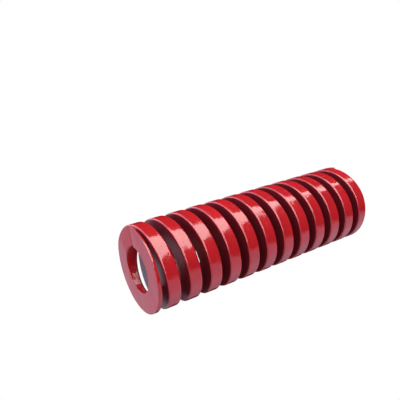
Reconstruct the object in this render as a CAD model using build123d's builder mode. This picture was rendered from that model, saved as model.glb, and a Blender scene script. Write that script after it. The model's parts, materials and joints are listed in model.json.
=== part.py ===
"""Die spring: one right-hand coil of flat spring wire with closed and ground ends.

The spring stands on its bottom end with its axis on Z. The origin is the centre of that end's ground
face, and the bottom tip of the wire points along +X. All sizes are in millimetres.
"""

import os
from itertools import pairwise
from math import pi

from build123d import *
from build123d.topology import SkipClean

# Driving sizes of the spring
outer_diameter = 24.5  # drops into a 25 mm pocket
bore_diameter = 13.0  # slides over a 12.5 mm guide rod
free_length = 76.0
total_turns = 13  # of which one at each end is closed
wire_thickness = 3.7  # along the axis
edge_break = 0.4  # bevel on the four long edges of the wire
tip_thickness = 0.5  # what grinding leaves of the wire at its tips
tip_gap = 0.5  # between a tip's turn and the next one, where they pass at the tip

# The coil is lofted in spans, and each span's sections stand a little proud until it is sized
spans_per_turn = 4
stations_per_span = 3
first_span = 0.25  # of a full span, which keeps the joints between spans clear of the X and Y axes
sizing_stock = 0.1  # taken off the wire at the bore and at the outer diameter

# Sizes that follow from those above
wire_width = (outer_diameter - bore_diameter) / 2
coil_radius = (outer_diameter + bore_diameter) / 4
tip_height = tip_thickness - wire_thickness / 2
end_rise = wire_thickness + tip_gap
active_turns = total_turns - 2
pitch = (free_length - 2 * tip_height - 2 * end_rise) / active_turns
tip_pitch = 2 * end_rise - pitch


def wire_height(turn):
    """Height of the wire's middle after this many turns from the bottom tip."""
    if turn > total_turns - 1:
        return free_length - wire_height(total_turns - turn)
    if turn > 1:
        return tip_height + end_rise + pitch * (turn - 1)
    return tip_height + tip_pitch * turn + (pitch - tip_pitch) * (turn**3 - turn**4 / 2)


def wire_pitch(turn):
    """Rise of the wire in one turn at this place; it eases from tip_pitch to pitch in an end turn."""
    into_end = min(turn, total_turns - turn, 1)
    return tip_pitch + (pitch - tip_pitch) * (3 * into_end**2 - 2 * into_end**3)


def wire_plane(turn):
    """Plane square to the wire, with its X axis pointing away from the spring's axis."""
    angle = 360 * turn
    return Plane(
        origin=Vector(coil_radius, 0, wire_height(turn)).rotate(Axis.Z, angle),
        x_dir=Vector(1, 0, 0).rotate(Axis.Z, angle),
        z_dir=Vector(0, 2 * pi * coil_radius, wire_pitch(turn)).rotate(Axis.Z, angle),
    )


def coil_span(start, end):
    """The coil between two numbers of turns, sized to the bore, the outer diameter and the end faces."""
    far_side = 180 * (start + end) + 180
    with BuildPart() as span:
        for station in range(stations_per_span + 1):
            turn = start + (end - start) * station / stations_per_span
            with BuildSketch(wire_plane(turn)) as section:
                Rectangle(wire_width + 2 * sizing_stock, wire_thickness)
                chamfer(section.vertices(), edge_break + sizing_stock)
        loft()
        # The tube's seam is turned away from the span, so that it doesn't cut the span's faces
        add(envelope.part, rotation=(0, 0, far_side), mode=Mode.INTERSECT)
    return span.part

# The tube that the finished spring just fills
with BuildPart() as envelope:
    with BuildSketch():
        Circle(outer_diameter / 2)
        Circle(bore_diameter / 2, mode=Mode.SUBTRACT)
    extrude(amount=free_length)

joints = [(index + first_span) / spans_per_turn for index in range(total_turns * spans_per_turn)]

# Without SkipClean the fuse would join the spans' faces into one surface for the whole coil
with BuildPart() as spring_coil, SkipClean():
    add([coil_span(*ends) for ends in pairwise([0, *joints, total_turns])], clean=False)

print(f"pitch {pitch:.3f} mm, volume {spring_coil.part.volume:.0f} mm3")

os.makedirs("parts", exist_ok=True)
spring_coil.part.label = "spring_coil"
export_step(spring_coil.part, "parts/spring_coil.step")
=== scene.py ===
"""The die spring in red enamel, seen past its top end as in the photograph.

The spring stands on its bottom end on the floor. The camera is rolled, so that the spring lies across the
picture as it does in the photograph. Lengths are in metres where a name doesn't say otherwise.
"""

import json
import math

import bpy
import numpy as np
from mathutils import Matrix, Vector


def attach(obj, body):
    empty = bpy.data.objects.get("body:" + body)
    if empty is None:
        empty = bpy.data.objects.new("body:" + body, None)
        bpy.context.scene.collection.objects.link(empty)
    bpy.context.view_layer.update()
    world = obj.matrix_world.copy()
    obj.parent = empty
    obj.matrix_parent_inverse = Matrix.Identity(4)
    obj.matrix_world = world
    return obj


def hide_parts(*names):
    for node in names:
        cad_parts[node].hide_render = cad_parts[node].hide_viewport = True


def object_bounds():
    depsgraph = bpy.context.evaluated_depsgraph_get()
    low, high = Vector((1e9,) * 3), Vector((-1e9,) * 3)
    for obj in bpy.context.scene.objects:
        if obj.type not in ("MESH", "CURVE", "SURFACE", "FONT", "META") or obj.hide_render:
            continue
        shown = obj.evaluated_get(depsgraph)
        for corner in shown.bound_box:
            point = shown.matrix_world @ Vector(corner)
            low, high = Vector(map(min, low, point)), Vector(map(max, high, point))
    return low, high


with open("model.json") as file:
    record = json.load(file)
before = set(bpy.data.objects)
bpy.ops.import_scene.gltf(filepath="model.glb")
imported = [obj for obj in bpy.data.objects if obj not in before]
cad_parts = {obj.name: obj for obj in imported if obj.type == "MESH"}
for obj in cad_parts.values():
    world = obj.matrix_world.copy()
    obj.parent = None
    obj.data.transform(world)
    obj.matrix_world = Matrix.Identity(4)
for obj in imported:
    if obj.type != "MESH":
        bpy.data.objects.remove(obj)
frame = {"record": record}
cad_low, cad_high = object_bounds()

MM = 0.001

# The wire's path, as in part.py
TOTAL_TURNS = 13
WIRE_THICKNESS = 3.71 * MM  # along the axis, so a little more than across the wire
TIP_THICKNESS = 0.5 * MM
TIP_GAP = 0.5 * MM

# How the mesh is cut up, and its fine edges
STATIONS_PER_TURN = 128
CORNER_STEPS = 6
EDGE_ROUND = 0.45 * MM
GROUND_EDGE = 0.12 * MM
TIP_ROUND = 0.08 * MM
TIP_ROUND_STEPS = 3
FLAT_SUPPORTS = (0.04, 0.96)
ROUND_SHARE = 0.85  # of what a thin tip leaves for its rounded edge

# The camera, in the directions in which it sees the spring: picture right, picture down, and forward
LENS_MM = 40.963
AXIS_SEEN = np.array([0.84155173, -0.23596725, 0.48591167])  # from the top end to the bottom end
UP_SEEN = np.array([-0.20434926, -0.97176101, -0.11799119])  # up from the table it lies on
SIDE_SEEN = np.array([0.50003207, 0.0, -0.86600689])  # level, and square to the axis
UP_AZIMUTH = math.radians(10)  # of the wire's tip from the side that lies up in the picture
CAMERA_UP = 2.3636  # in outer radii, from the centre of the top end
CAMERA_SIDE = 9.2274
CAMERA_BEYOND = 3.2854
CLIP_START = 0.01

# The enamel's colours
ENAMEL_RED = (0.45, 0.009, 0.015, 1)
ENAMEL_BRIGHT = (0.53, 0.011, 0.018, 1)
ENAMEL_DUSTY = (0.34, 0.007, 0.011, 1)
ENAMEL_PAINTED_SHADE = (0.16, 0.006, 0.014, 1)  # painted shade: a darker red between the turns, standing in for the shade there
DEEP_ROUGHNESS = 0.32
OUTSIDE_ROUGHNESS = (0.10, 0.17)
BORE_SHARE = 0.6  # of the outside's colour, in the bore; the rest is the darker red of the painted shade
END_DEPTH = 1.1 * MM  # how far below an end face its turn still lies open, with no shade painted on it
END_EASE = 0.3 * MM
SHADE_FULL = 0.5 * MM  # this far in from the outer diameter or the bore, the painted shade between turns is full
SHADE_GONE = 0.1 * MM
ENAMEL_IOR = 1.5

# The enamel's patches, runs, orange peel, grain and pits: how wide they are, and how high or deep
PATCH_SIZE = 9 * MM
RUN_SIZE = 3.2 * MM
RUN_HEIGHT = 0.12 * MM
PEEL_SIZE = 1.2 * MM
PEEL_HEIGHT = 0.035 * MM
GRAIN_SIZE = 0.28 * MM
GRAIN_HEIGHT = 0.004 * MM
PIT_SIZE = 0.55 * MM
PIT_DEPTH = 0.02 * MM
NOISE_ROUGHNESS = 0.5
MIDDLE_RANGE = (0.3, 0.7)  # of a noise, which has most of its values here
DUST_RANGE = (0.55, 0.8)
DUST_SHARE = 0.25
PIT_RANGE = (0.70, 0.78)

# The studio: its light, the white that the camera sees, and what only the enamel mirrors
WHITE = (1, 1, 1, 1)
WHITE_LEVEL = 1.0
DOME_LEVEL = 0.95
DOME_SLOPE = 0.80
DOME_BEYOND = -0.25
DARK_LEVEL = 0.02
TABLE_LEVEL = 1.3
TABLE_SHADE = 0.45  # of the table's light, behind the spring
END_LEVEL = 0.95
STRIP_LEVEL = 3.5
STUDIO_TINT = (0.80, 0.78, 1.0, 1.0)  # of what the enamel mirrors
# Where each part of what the enamel mirrors starts and is full, by how far up, sideways or beyond it lies
TABLE_BELOW = (-0.40, -0.58)
TABLE_BEHIND = (0.1, -0.45)
END_BEYOND = (0.0, 0.15)
STRIP_ABOVE = (0.2, 0.35)
STRIP_BEYOND = (-0.2, -0.1)
FLOOR_REACH = 20.0
FLOOR_HEIGHT = -0.02 * MM  # just clear of the ground end
FLOOR_CORNERS = ((-1, -1), (1, -1), (1, 1), (-1, 1))
NEIGHBOUR_SIDE = 1.3  # in outer radii, behind the spring's axis
NEIGHBOUR_CORNERS = ((-3, -8), (1, -8), (1, -0.4), (-3, -0.4))  # up, and beyond the top end, in outer radii
SOFTBOX_LEVEL = 8.0
SOFTBOX_DISTANCE = 0.5
# Where its outline is mirrored: radii from the top end, and degrees round from the side that lies up
SOFTBOX_CORNERS = ((-7, 38), (-7, 95), (3.0, 60), (3.2, 54), (6.4, 52), (6.4, 47), (3.0, 46))


def mount_radius(name):
    """Radius of one of the record's round mounts."""
    mount = next(m for m in frame["record"]["mounts"] if m["name"] == name)
    return mount["dims"]["r_mm"] * MM


outer_radius = mount_radius("pocket_diameter")
bore_radius = mount_radius("guide_rod_bore")
free_length = cad_high.z - cad_low.z
coil_radius = (outer_radius + bore_radius) / 2
tip_height = TIP_THICKNESS - WIRE_THICKNESS / 2
end_rise = WIRE_THICKNESS + TIP_GAP
pitch = (free_length - 2 * tip_height - 2 * end_rise) / (TOTAL_TURNS - 2)
tip_pitch = 2 * end_rise - pitch

# Directions of the picture, in the row frame
view_up = Vector((math.cos(UP_AZIMUTH), math.sin(UP_AZIMUTH), 0))
view_side = Vector((math.sin(UP_AZIMUTH), -math.cos(UP_AZIMUTH), 0))
top_centre = Vector((0, 0, free_length))


def wire_height(turn):
    """Height of the wire's middle at each number of turns from the bottom tip, as in part.py."""
    from_tip = np.minimum(turn, TOTAL_TURNS - turn)
    closed = tip_height + tip_pitch * from_tip + (pitch - tip_pitch) * (from_tip**3 - from_tip**4 / 2)
    active = tip_height + end_rise + pitch * (from_tip - 1)
    height = np.where(from_tip < 1, closed, active)
    return np.where(turn > TOTAL_TURNS / 2, free_length - height, height)


def stations():
    """Turns and insets of the wire's sections. The insets round the wire's two tips."""
    beta = np.linspace(0, math.pi / 2, TIP_ROUND_STEPS + 1)
    tip_turns = TIP_ROUND * (1 - np.cos(beta)) / coil_radius / (2 * math.pi)
    tip_insets = TIP_ROUND * (1 - np.sin(beta))
    between = np.arange(1, TOTAL_TURNS * STATIONS_PER_TURN) / STATIONS_PER_TURN
    turns = np.concatenate([tip_turns, between, TOTAL_TURNS - tip_turns[::-1]])
    insets = np.concatenate([tip_insets, np.zeros(len(between)), tip_insets[::-1]])
    return turns[:, None], insets[:, None]


def corner(edge, limit, wall, rounding, angles):
    """Distances outward and along the axis of one rounded edge's points, cut back to a ground face."""
    centre_out = wall - rounding
    centre_along = edge - rounding
    ground_along = limit - GROUND_EDGE
    rise = np.clip(ground_along - centre_along, 0, rounding - GROUND_EDGE)
    reach = np.sqrt((rounding - GROUND_EDGE) ** 2 - rise**2)
    ground = (limit < edge) & (angles >= np.arctan2(rise, reach))
    out = np.where(ground, centre_out + reach, centre_out)
    along = np.where(ground, ground_along, centre_along)
    radius = np.where(ground, GROUND_EDGE, rounding)
    return out + radius * np.cos(angles), along + radius * np.sin(angles)


def sections():
    """Radius, height and turn of every point of every section, in order round the wire."""
    turns, insets = stations()
    middle = wire_height(turns)
    top = middle + WIRE_THICKNESS / 2
    bottom = middle - WIRE_THICKNESS / 2
    height = np.minimum(top, free_length) - np.maximum(bottom, 0)
    rounding = np.minimum(EDGE_ROUND, ROUND_SHARE * (height - GROUND_EDGE))
    outward = np.linspace(0, math.pi / 2, CORNER_STEPS + 1)[None, :]
    inward = outward[:, ::-1]
    corners = []
    for side, end, angles in ((1, 1, outward), (-1, 1, inward), (-1, -1, outward), (1, -1, inward)):
        wall = outer_radius if side > 0 else -bore_radius
        edge, limit = (top, free_length) if end > 0 else (-bottom, 0.0)
        out, along = corner(edge, limit, wall, rounding, angles)
        out = out - insets * np.cos(angles)
        along = along - insets * np.sin(angles)
        corners.append((side * out, end * along))
    radii, heights = [], []
    for here, following in zip(corners, corners[1:] + corners[:1]):
        for values, start, stop in zip((radii, heights), here, following):
            values.append(start)
            for share in FLAT_SUPPORTS:
                values.append(start[:, -1:] * (1 - share) + stop[:, :1] * share)
    return np.hstack(radii), np.hstack(heights), turns


def coil_mesh():
    """The wire as one closed mesh: quads along it, and a face on each tip."""
    radii, heights, turns = sections()
    angles = 2 * math.pi * turns
    points = np.stack([radii * np.cos(angles), radii * np.sin(angles), heights], axis=2)
    count, around = radii.shape
    index = np.arange(count * around).reshape(count, around)
    beside = np.roll(index, -1, axis=1)
    quads = np.stack([index[:-1], index[1:], beside[1:], beside[:-1]], axis=2).reshape(-1, 4)
    faces = quads.tolist() + [index[0].tolist(), index[-1, ::-1].tolist()]
    mesh = bpy.data.meshes.new("spring")
    mesh.from_pydata(points.reshape(-1, 3).tolist(), [], faces)
    mesh.shade_smooth()
    mesh.validate()
    return mesh


def add_node(tree, kind, settings=None, **inputs):
    """A node with its settings and its inputs, each a value or a link.

    An input goes by its name with _ for a space, or by its number after a _.
    """
    node = tree.nodes.new(kind)
    for name, value in (settings or {}).items():
        setattr(node, name, value)
    for name, value in inputs.items():
        socket = node.inputs[int(name[1:])] if name[0] == "_" else node.inputs[name.replace("_", " ")]
        if isinstance(value, bpy.types.NodeSocket):
            tree.links.new(value, socket)
        else:
            socket.default_value = value
    return node


def noise(tree, where, size, detail):
    """Noise whose features are about this size."""
    return add_node(
        tree, "ShaderNodeTexNoise", Vector=where, Scale=1 / size, Detail=detail, Roughness=NOISE_ROUGHNESS
    ).outputs["Fac"]


def ranged(tree, value, start, stop, low, high):
    """A value eased from low to high between start and stop."""
    return add_node(
        tree,
        "ShaderNodeMapRange",
        {"interpolation_type": "SMOOTHSTEP"},
        Value=value,
        From_Min=start,
        From_Max=stop,
        To_Min=low,
        To_Max=high,
    ).outputs["Result"]


def calculated(tree, operation, *values):
    """The result of a sum, a product or the like."""
    inputs = {f"_{index}": value for index, value in enumerate(values)}
    return add_node(tree, "ShaderNodeMath", {"operation": operation}, **inputs).outputs[0]


def mixed(tree, share, start, stop):
    """A colour between two others."""
    return add_node(
        tree, "ShaderNodeMix", {"data_type": "RGBA"}, _0=share, _6=start, _7=stop
    ).outputs[2]


def bumped(tree, relief, distance, inward=False, **normal):
    """The surface's normal with this relief on it, over the relief of any normal given."""
    return add_node(
        tree, "ShaderNodeBump", {"invert": inward}, Height=relief, Distance=distance, Strength=1.0, **normal
    ).outputs[0]


def outside(tree, where):
    """How free of the painted shade the enamel is: 1 on the outer diameter and the open end faces, less in
    the bore, and 0 between the turns.
    """
    level = add_node(
        tree, "ShaderNodeVectorMath", {"operation": "MULTIPLY"}, _0=where, _1=(1, 1, 0)
    ).outputs[0]
    radius = add_node(tree, "ShaderNodeVectorMath", {"operation": "LENGTH"}, _0=level).outputs["Value"]
    height = add_node(tree, "ShaderNodeSeparateXYZ", Vector=where).outputs["Z"]
    rim = ranged(tree, radius, outer_radius - SHADE_FULL, outer_radius - SHADE_GONE, 0.0, 1.0)
    bore = ranged(tree, radius, bore_radius + SHADE_FULL, bore_radius + SHADE_GONE, 0.0, BORE_SHARE)
    from_middle = calculated(
        tree, "ABSOLUTE", calculated(tree, "SUBTRACT", height, free_length / 2)
    )
    open_from = free_length / 2 - END_DEPTH
    ends = ranged(tree, from_middle, open_from - END_EASE, open_from, 0.0, 1.0)
    return calculated(tree, "MAXIMUM", calculated(tree, "MAXIMUM", rim, bore), ends)


def enamel_colour(tree, where, grain, unshaded_outside):
    """Patchy red with a little dust on it, and a darker red painted between the turns as shade."""
    patches = noise(tree, where, PATCH_SIZE, 3)
    red = mixed(tree, ranged(tree, patches, *MIDDLE_RANGE, 0.0, 1.0), ENAMEL_RED, ENAMEL_BRIGHT)
    dusty = mixed(tree, ranged(tree, grain, *DUST_RANGE, 0.0, DUST_SHARE), red, ENAMEL_DUSTY)
    # painted shade: the darker red between the turns, and in part in the bore
    return mixed(tree, unshaded_outside, ENAMEL_PAINTED_SHADE, dusty)


def enamel_relief(tree, where, peel, grain):
    """The surface's normal over the enamel's runs, orange peel, grain and pits."""
    runs = noise(tree, where, RUN_SIZE, 1)
    pits = ranged(tree, noise(tree, where, PIT_SIZE, 1), *PIT_RANGE, 0.0, 1.0)
    raised = bumped(tree, runs, RUN_HEIGHT)
    raised = bumped(tree, peel, PEEL_HEIGHT, Normal=raised)
    raised = bumped(tree, grain, GRAIN_HEIGHT, Normal=raised)
    return bumped(tree, pits, PIT_DEPTH, inward=True, Normal=raised)


def enamel():
    """Glossy red enamel, rougher between the turns, where a darker red is painted as shade."""
    material = bpy.data.materials.new("red_enamel")
    material.use_nodes = True
    tree = material.node_tree
    shader = tree.nodes["Principled BSDF"]
    where = add_node(tree, "ShaderNodeTexCoord").outputs["Object"]
    peel = noise(tree, where, PEEL_SIZE, 2)
    grain = noise(tree, where, GRAIN_SIZE, 2)
    unshaded_outside = outside(tree, where)
    outside_roughness = ranged(tree, peel, *MIDDLE_RANGE, *OUTSIDE_ROUGHNESS)
    roughness = add_node(
        tree, "ShaderNodeMix", _0=unshaded_outside, _2=DEEP_ROUGHNESS, _3=outside_roughness
    ).outputs[0]
    tree.links.new(enamel_colour(tree, where, grain, unshaded_outside), shader.inputs["Base Color"])
    tree.links.new(roughness, shader.inputs["Roughness"])
    tree.links.new(enamel_relief(tree, where, peel, grain), shader.inputs["Normal"])
    shader.inputs["IOR"].default_value = ENAMEL_IOR
    return material


def glow(name, level):
    """Material that only gives light."""
    material = bpy.data.materials.new(name)
    material.use_nodes = True
    tree = material.node_tree
    tree.nodes.clear()
    light = add_node(tree, "ShaderNodeEmission", Color=WHITE, Strength=level)
    add_node(tree, "ShaderNodeOutputMaterial", Surface=light.outputs[0])
    return material


def stage_face(name, corners, material):
    """A flat part of the studio, which isn't part of the spring."""
    mesh = bpy.data.meshes.new(name)
    mesh.from_pydata([tuple(corner) for corner in corners], [], [range(len(corners))])
    mesh.materials.append(material)
    face = bpy.data.objects.new(name, mesh)
    bpy.context.scene.collection.objects.link(face)
    face.visible_diffuse = False
    face.visible_shadow = False
    face.visible_transmission = False
    return face


def add_camera():
    """The camera at the photograph's viewing angle."""
    place = view_up * CAMERA_UP + view_side * CAMERA_SIDE + Vector((0, 0, CAMERA_BEYOND))
    seen = [UP_SEEN * up + SIDE_SEEN * side for up, side in zip(view_up[:2], view_side[:2])] + [-AXIS_SEEN]
    right, down, forward = (Vector([row[i] for row in seen]) for i in range(3))
    camera_data = bpy.data.cameras.new("camera")
    camera_data.lens = LENS_MM
    camera_data.clip_start = CLIP_START
    camera = bpy.data.objects.new("camera", camera_data)
    turned = Matrix((right, -down, -forward)).transposed()
    camera.matrix_world = Matrix.Translation(top_centre + place * outer_radius) @ turned.to_4x4()
    bpy.context.scene.collection.objects.link(camera)
    bpy.context.scene.camera = camera
    return camera


def mirrored_point(camera, along, degrees):
    """Where the camera sees a far light reflected in the coil's outer face, this way along and round."""
    angle = math.radians(degrees)
    outward = view_up * math.cos(angle) + view_side * math.sin(angle)
    spot = top_centre + outward * outer_radius - Vector((0, 0, along * outer_radius))
    ray = (spot - camera.matrix_world.translation).normalized()
    return spot + ray.reflect(outward) * SOFTBOX_DISTANCE


def add_world():
    """A white studio. What the enamel mirrors is darker above the table, as in the photograph."""
    world = bpy.data.worlds.new("studio")
    bpy.context.scene.world = world
    world.use_nodes = True
    tree = world.node_tree
    tree.nodes.clear()
    direction = add_node(tree, "ShaderNodeTexCoord").outputs["Generated"]
    upward, sideways, beyond = (
        add_node(
            tree, "ShaderNodeVectorMath", {"operation": "DOT_PRODUCT"}, _0=direction, _1=axis
        ).outputs["Value"]
        for axis in (view_up, view_side, (0, 0, 1))
    )
    front = calculated(tree, "MULTIPLY_ADD", beyond, DOME_BEYOND, DOME_LEVEL)
    dome = calculated(tree, "MULTIPLY_ADD", upward, DOME_SLOPE, front)
    table_far = ranged(tree, upward, *TABLE_BELOW, DARK_LEVEL, TABLE_LEVEL)
    table_near = ranged(tree, sideways, *TABLE_BEHIND, 1.0, TABLE_SHADE)
    table = calculated(tree, "MULTIPLY", table_far, table_near)
    end = ranged(tree, beyond, *END_BEYOND, DARK_LEVEL, END_LEVEL)
    strip_up = ranged(tree, upward, *STRIP_ABOVE, 0.0, STRIP_LEVEL)
    strip = calculated(tree, "MULTIPLY", strip_up, ranged(tree, beyond, *STRIP_BEYOND, 0.0, 1.0))
    mirrored = calculated(tree, "MAXIMUM", calculated(tree, "MAXIMUM", table, end), strip)
    rays = add_node(tree, "ShaderNodeLightPath")
    lit = add_node(
        tree, "ShaderNodeMix", _0=rays.outputs["Is Glossy Ray"], _2=dome, _3=mirrored
    ).outputs[0]
    level = add_node(
        tree, "ShaderNodeMix", _0=rays.outputs["Is Camera Ray"], _2=lit, _3=WHITE_LEVEL
    ).outputs[0]
    tint = mixed(tree, rays.outputs["Is Glossy Ray"], WHITE, STUDIO_TINT)
    sky = add_node(tree, "ShaderNodeBackground", Color=tint, Strength=level)
    add_node(tree, "ShaderNodeOutputWorld", Surface=sky.outputs[0])


def add_floor():
    """The white ground, which the enamel doesn't mirror."""
    corners = [(x * FLOOR_REACH, y * FLOOR_REACH, FLOOR_HEIGHT) for x, y in FLOOR_CORNERS]
    floor = stage_face("floor", corners, glow("white_floor", WHITE_LEVEL))
    floor.visible_glossy = False


def add_neighbour():
    """The next spring of the photograph's row, which isn't built: the enamel mirrors it as dark."""
    side = view_side * NEIGHBOUR_SIDE
    corners = [
        top_centre + (view_up * up - side + Vector((0, 0, along))) * outer_radius
        for up, along in NEIGHBOUR_CORNERS
    ]
    neighbour = stage_face("neighbour", corners, glow("neighbour_dark", DARK_LEVEL))
    neighbour.visible_camera = False


def add_softbox(camera):
    """The light whose mirror image the camera sees along the coil."""
    corners = [mirrored_point(camera, *place) for place in SOFTBOX_CORNERS]
    softbox = stage_face("softbox", corners, glow("softbox_light", SOFTBOX_LEVEL))
    softbox.visible_camera = False


spring = bpy.data.objects.new("spring", coil_mesh())
bpy.context.scene.collection.objects.link(spring)
spring.data.materials.append(enamel())
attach(spring, "root")
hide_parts("spring_coil")

camera = add_camera()
bpy.context.view_layer.update()
add_world()
add_floor()
add_neighbour()
add_softbox(camera)

bpy.context.scene.view_settings.view_transform = "Standard"
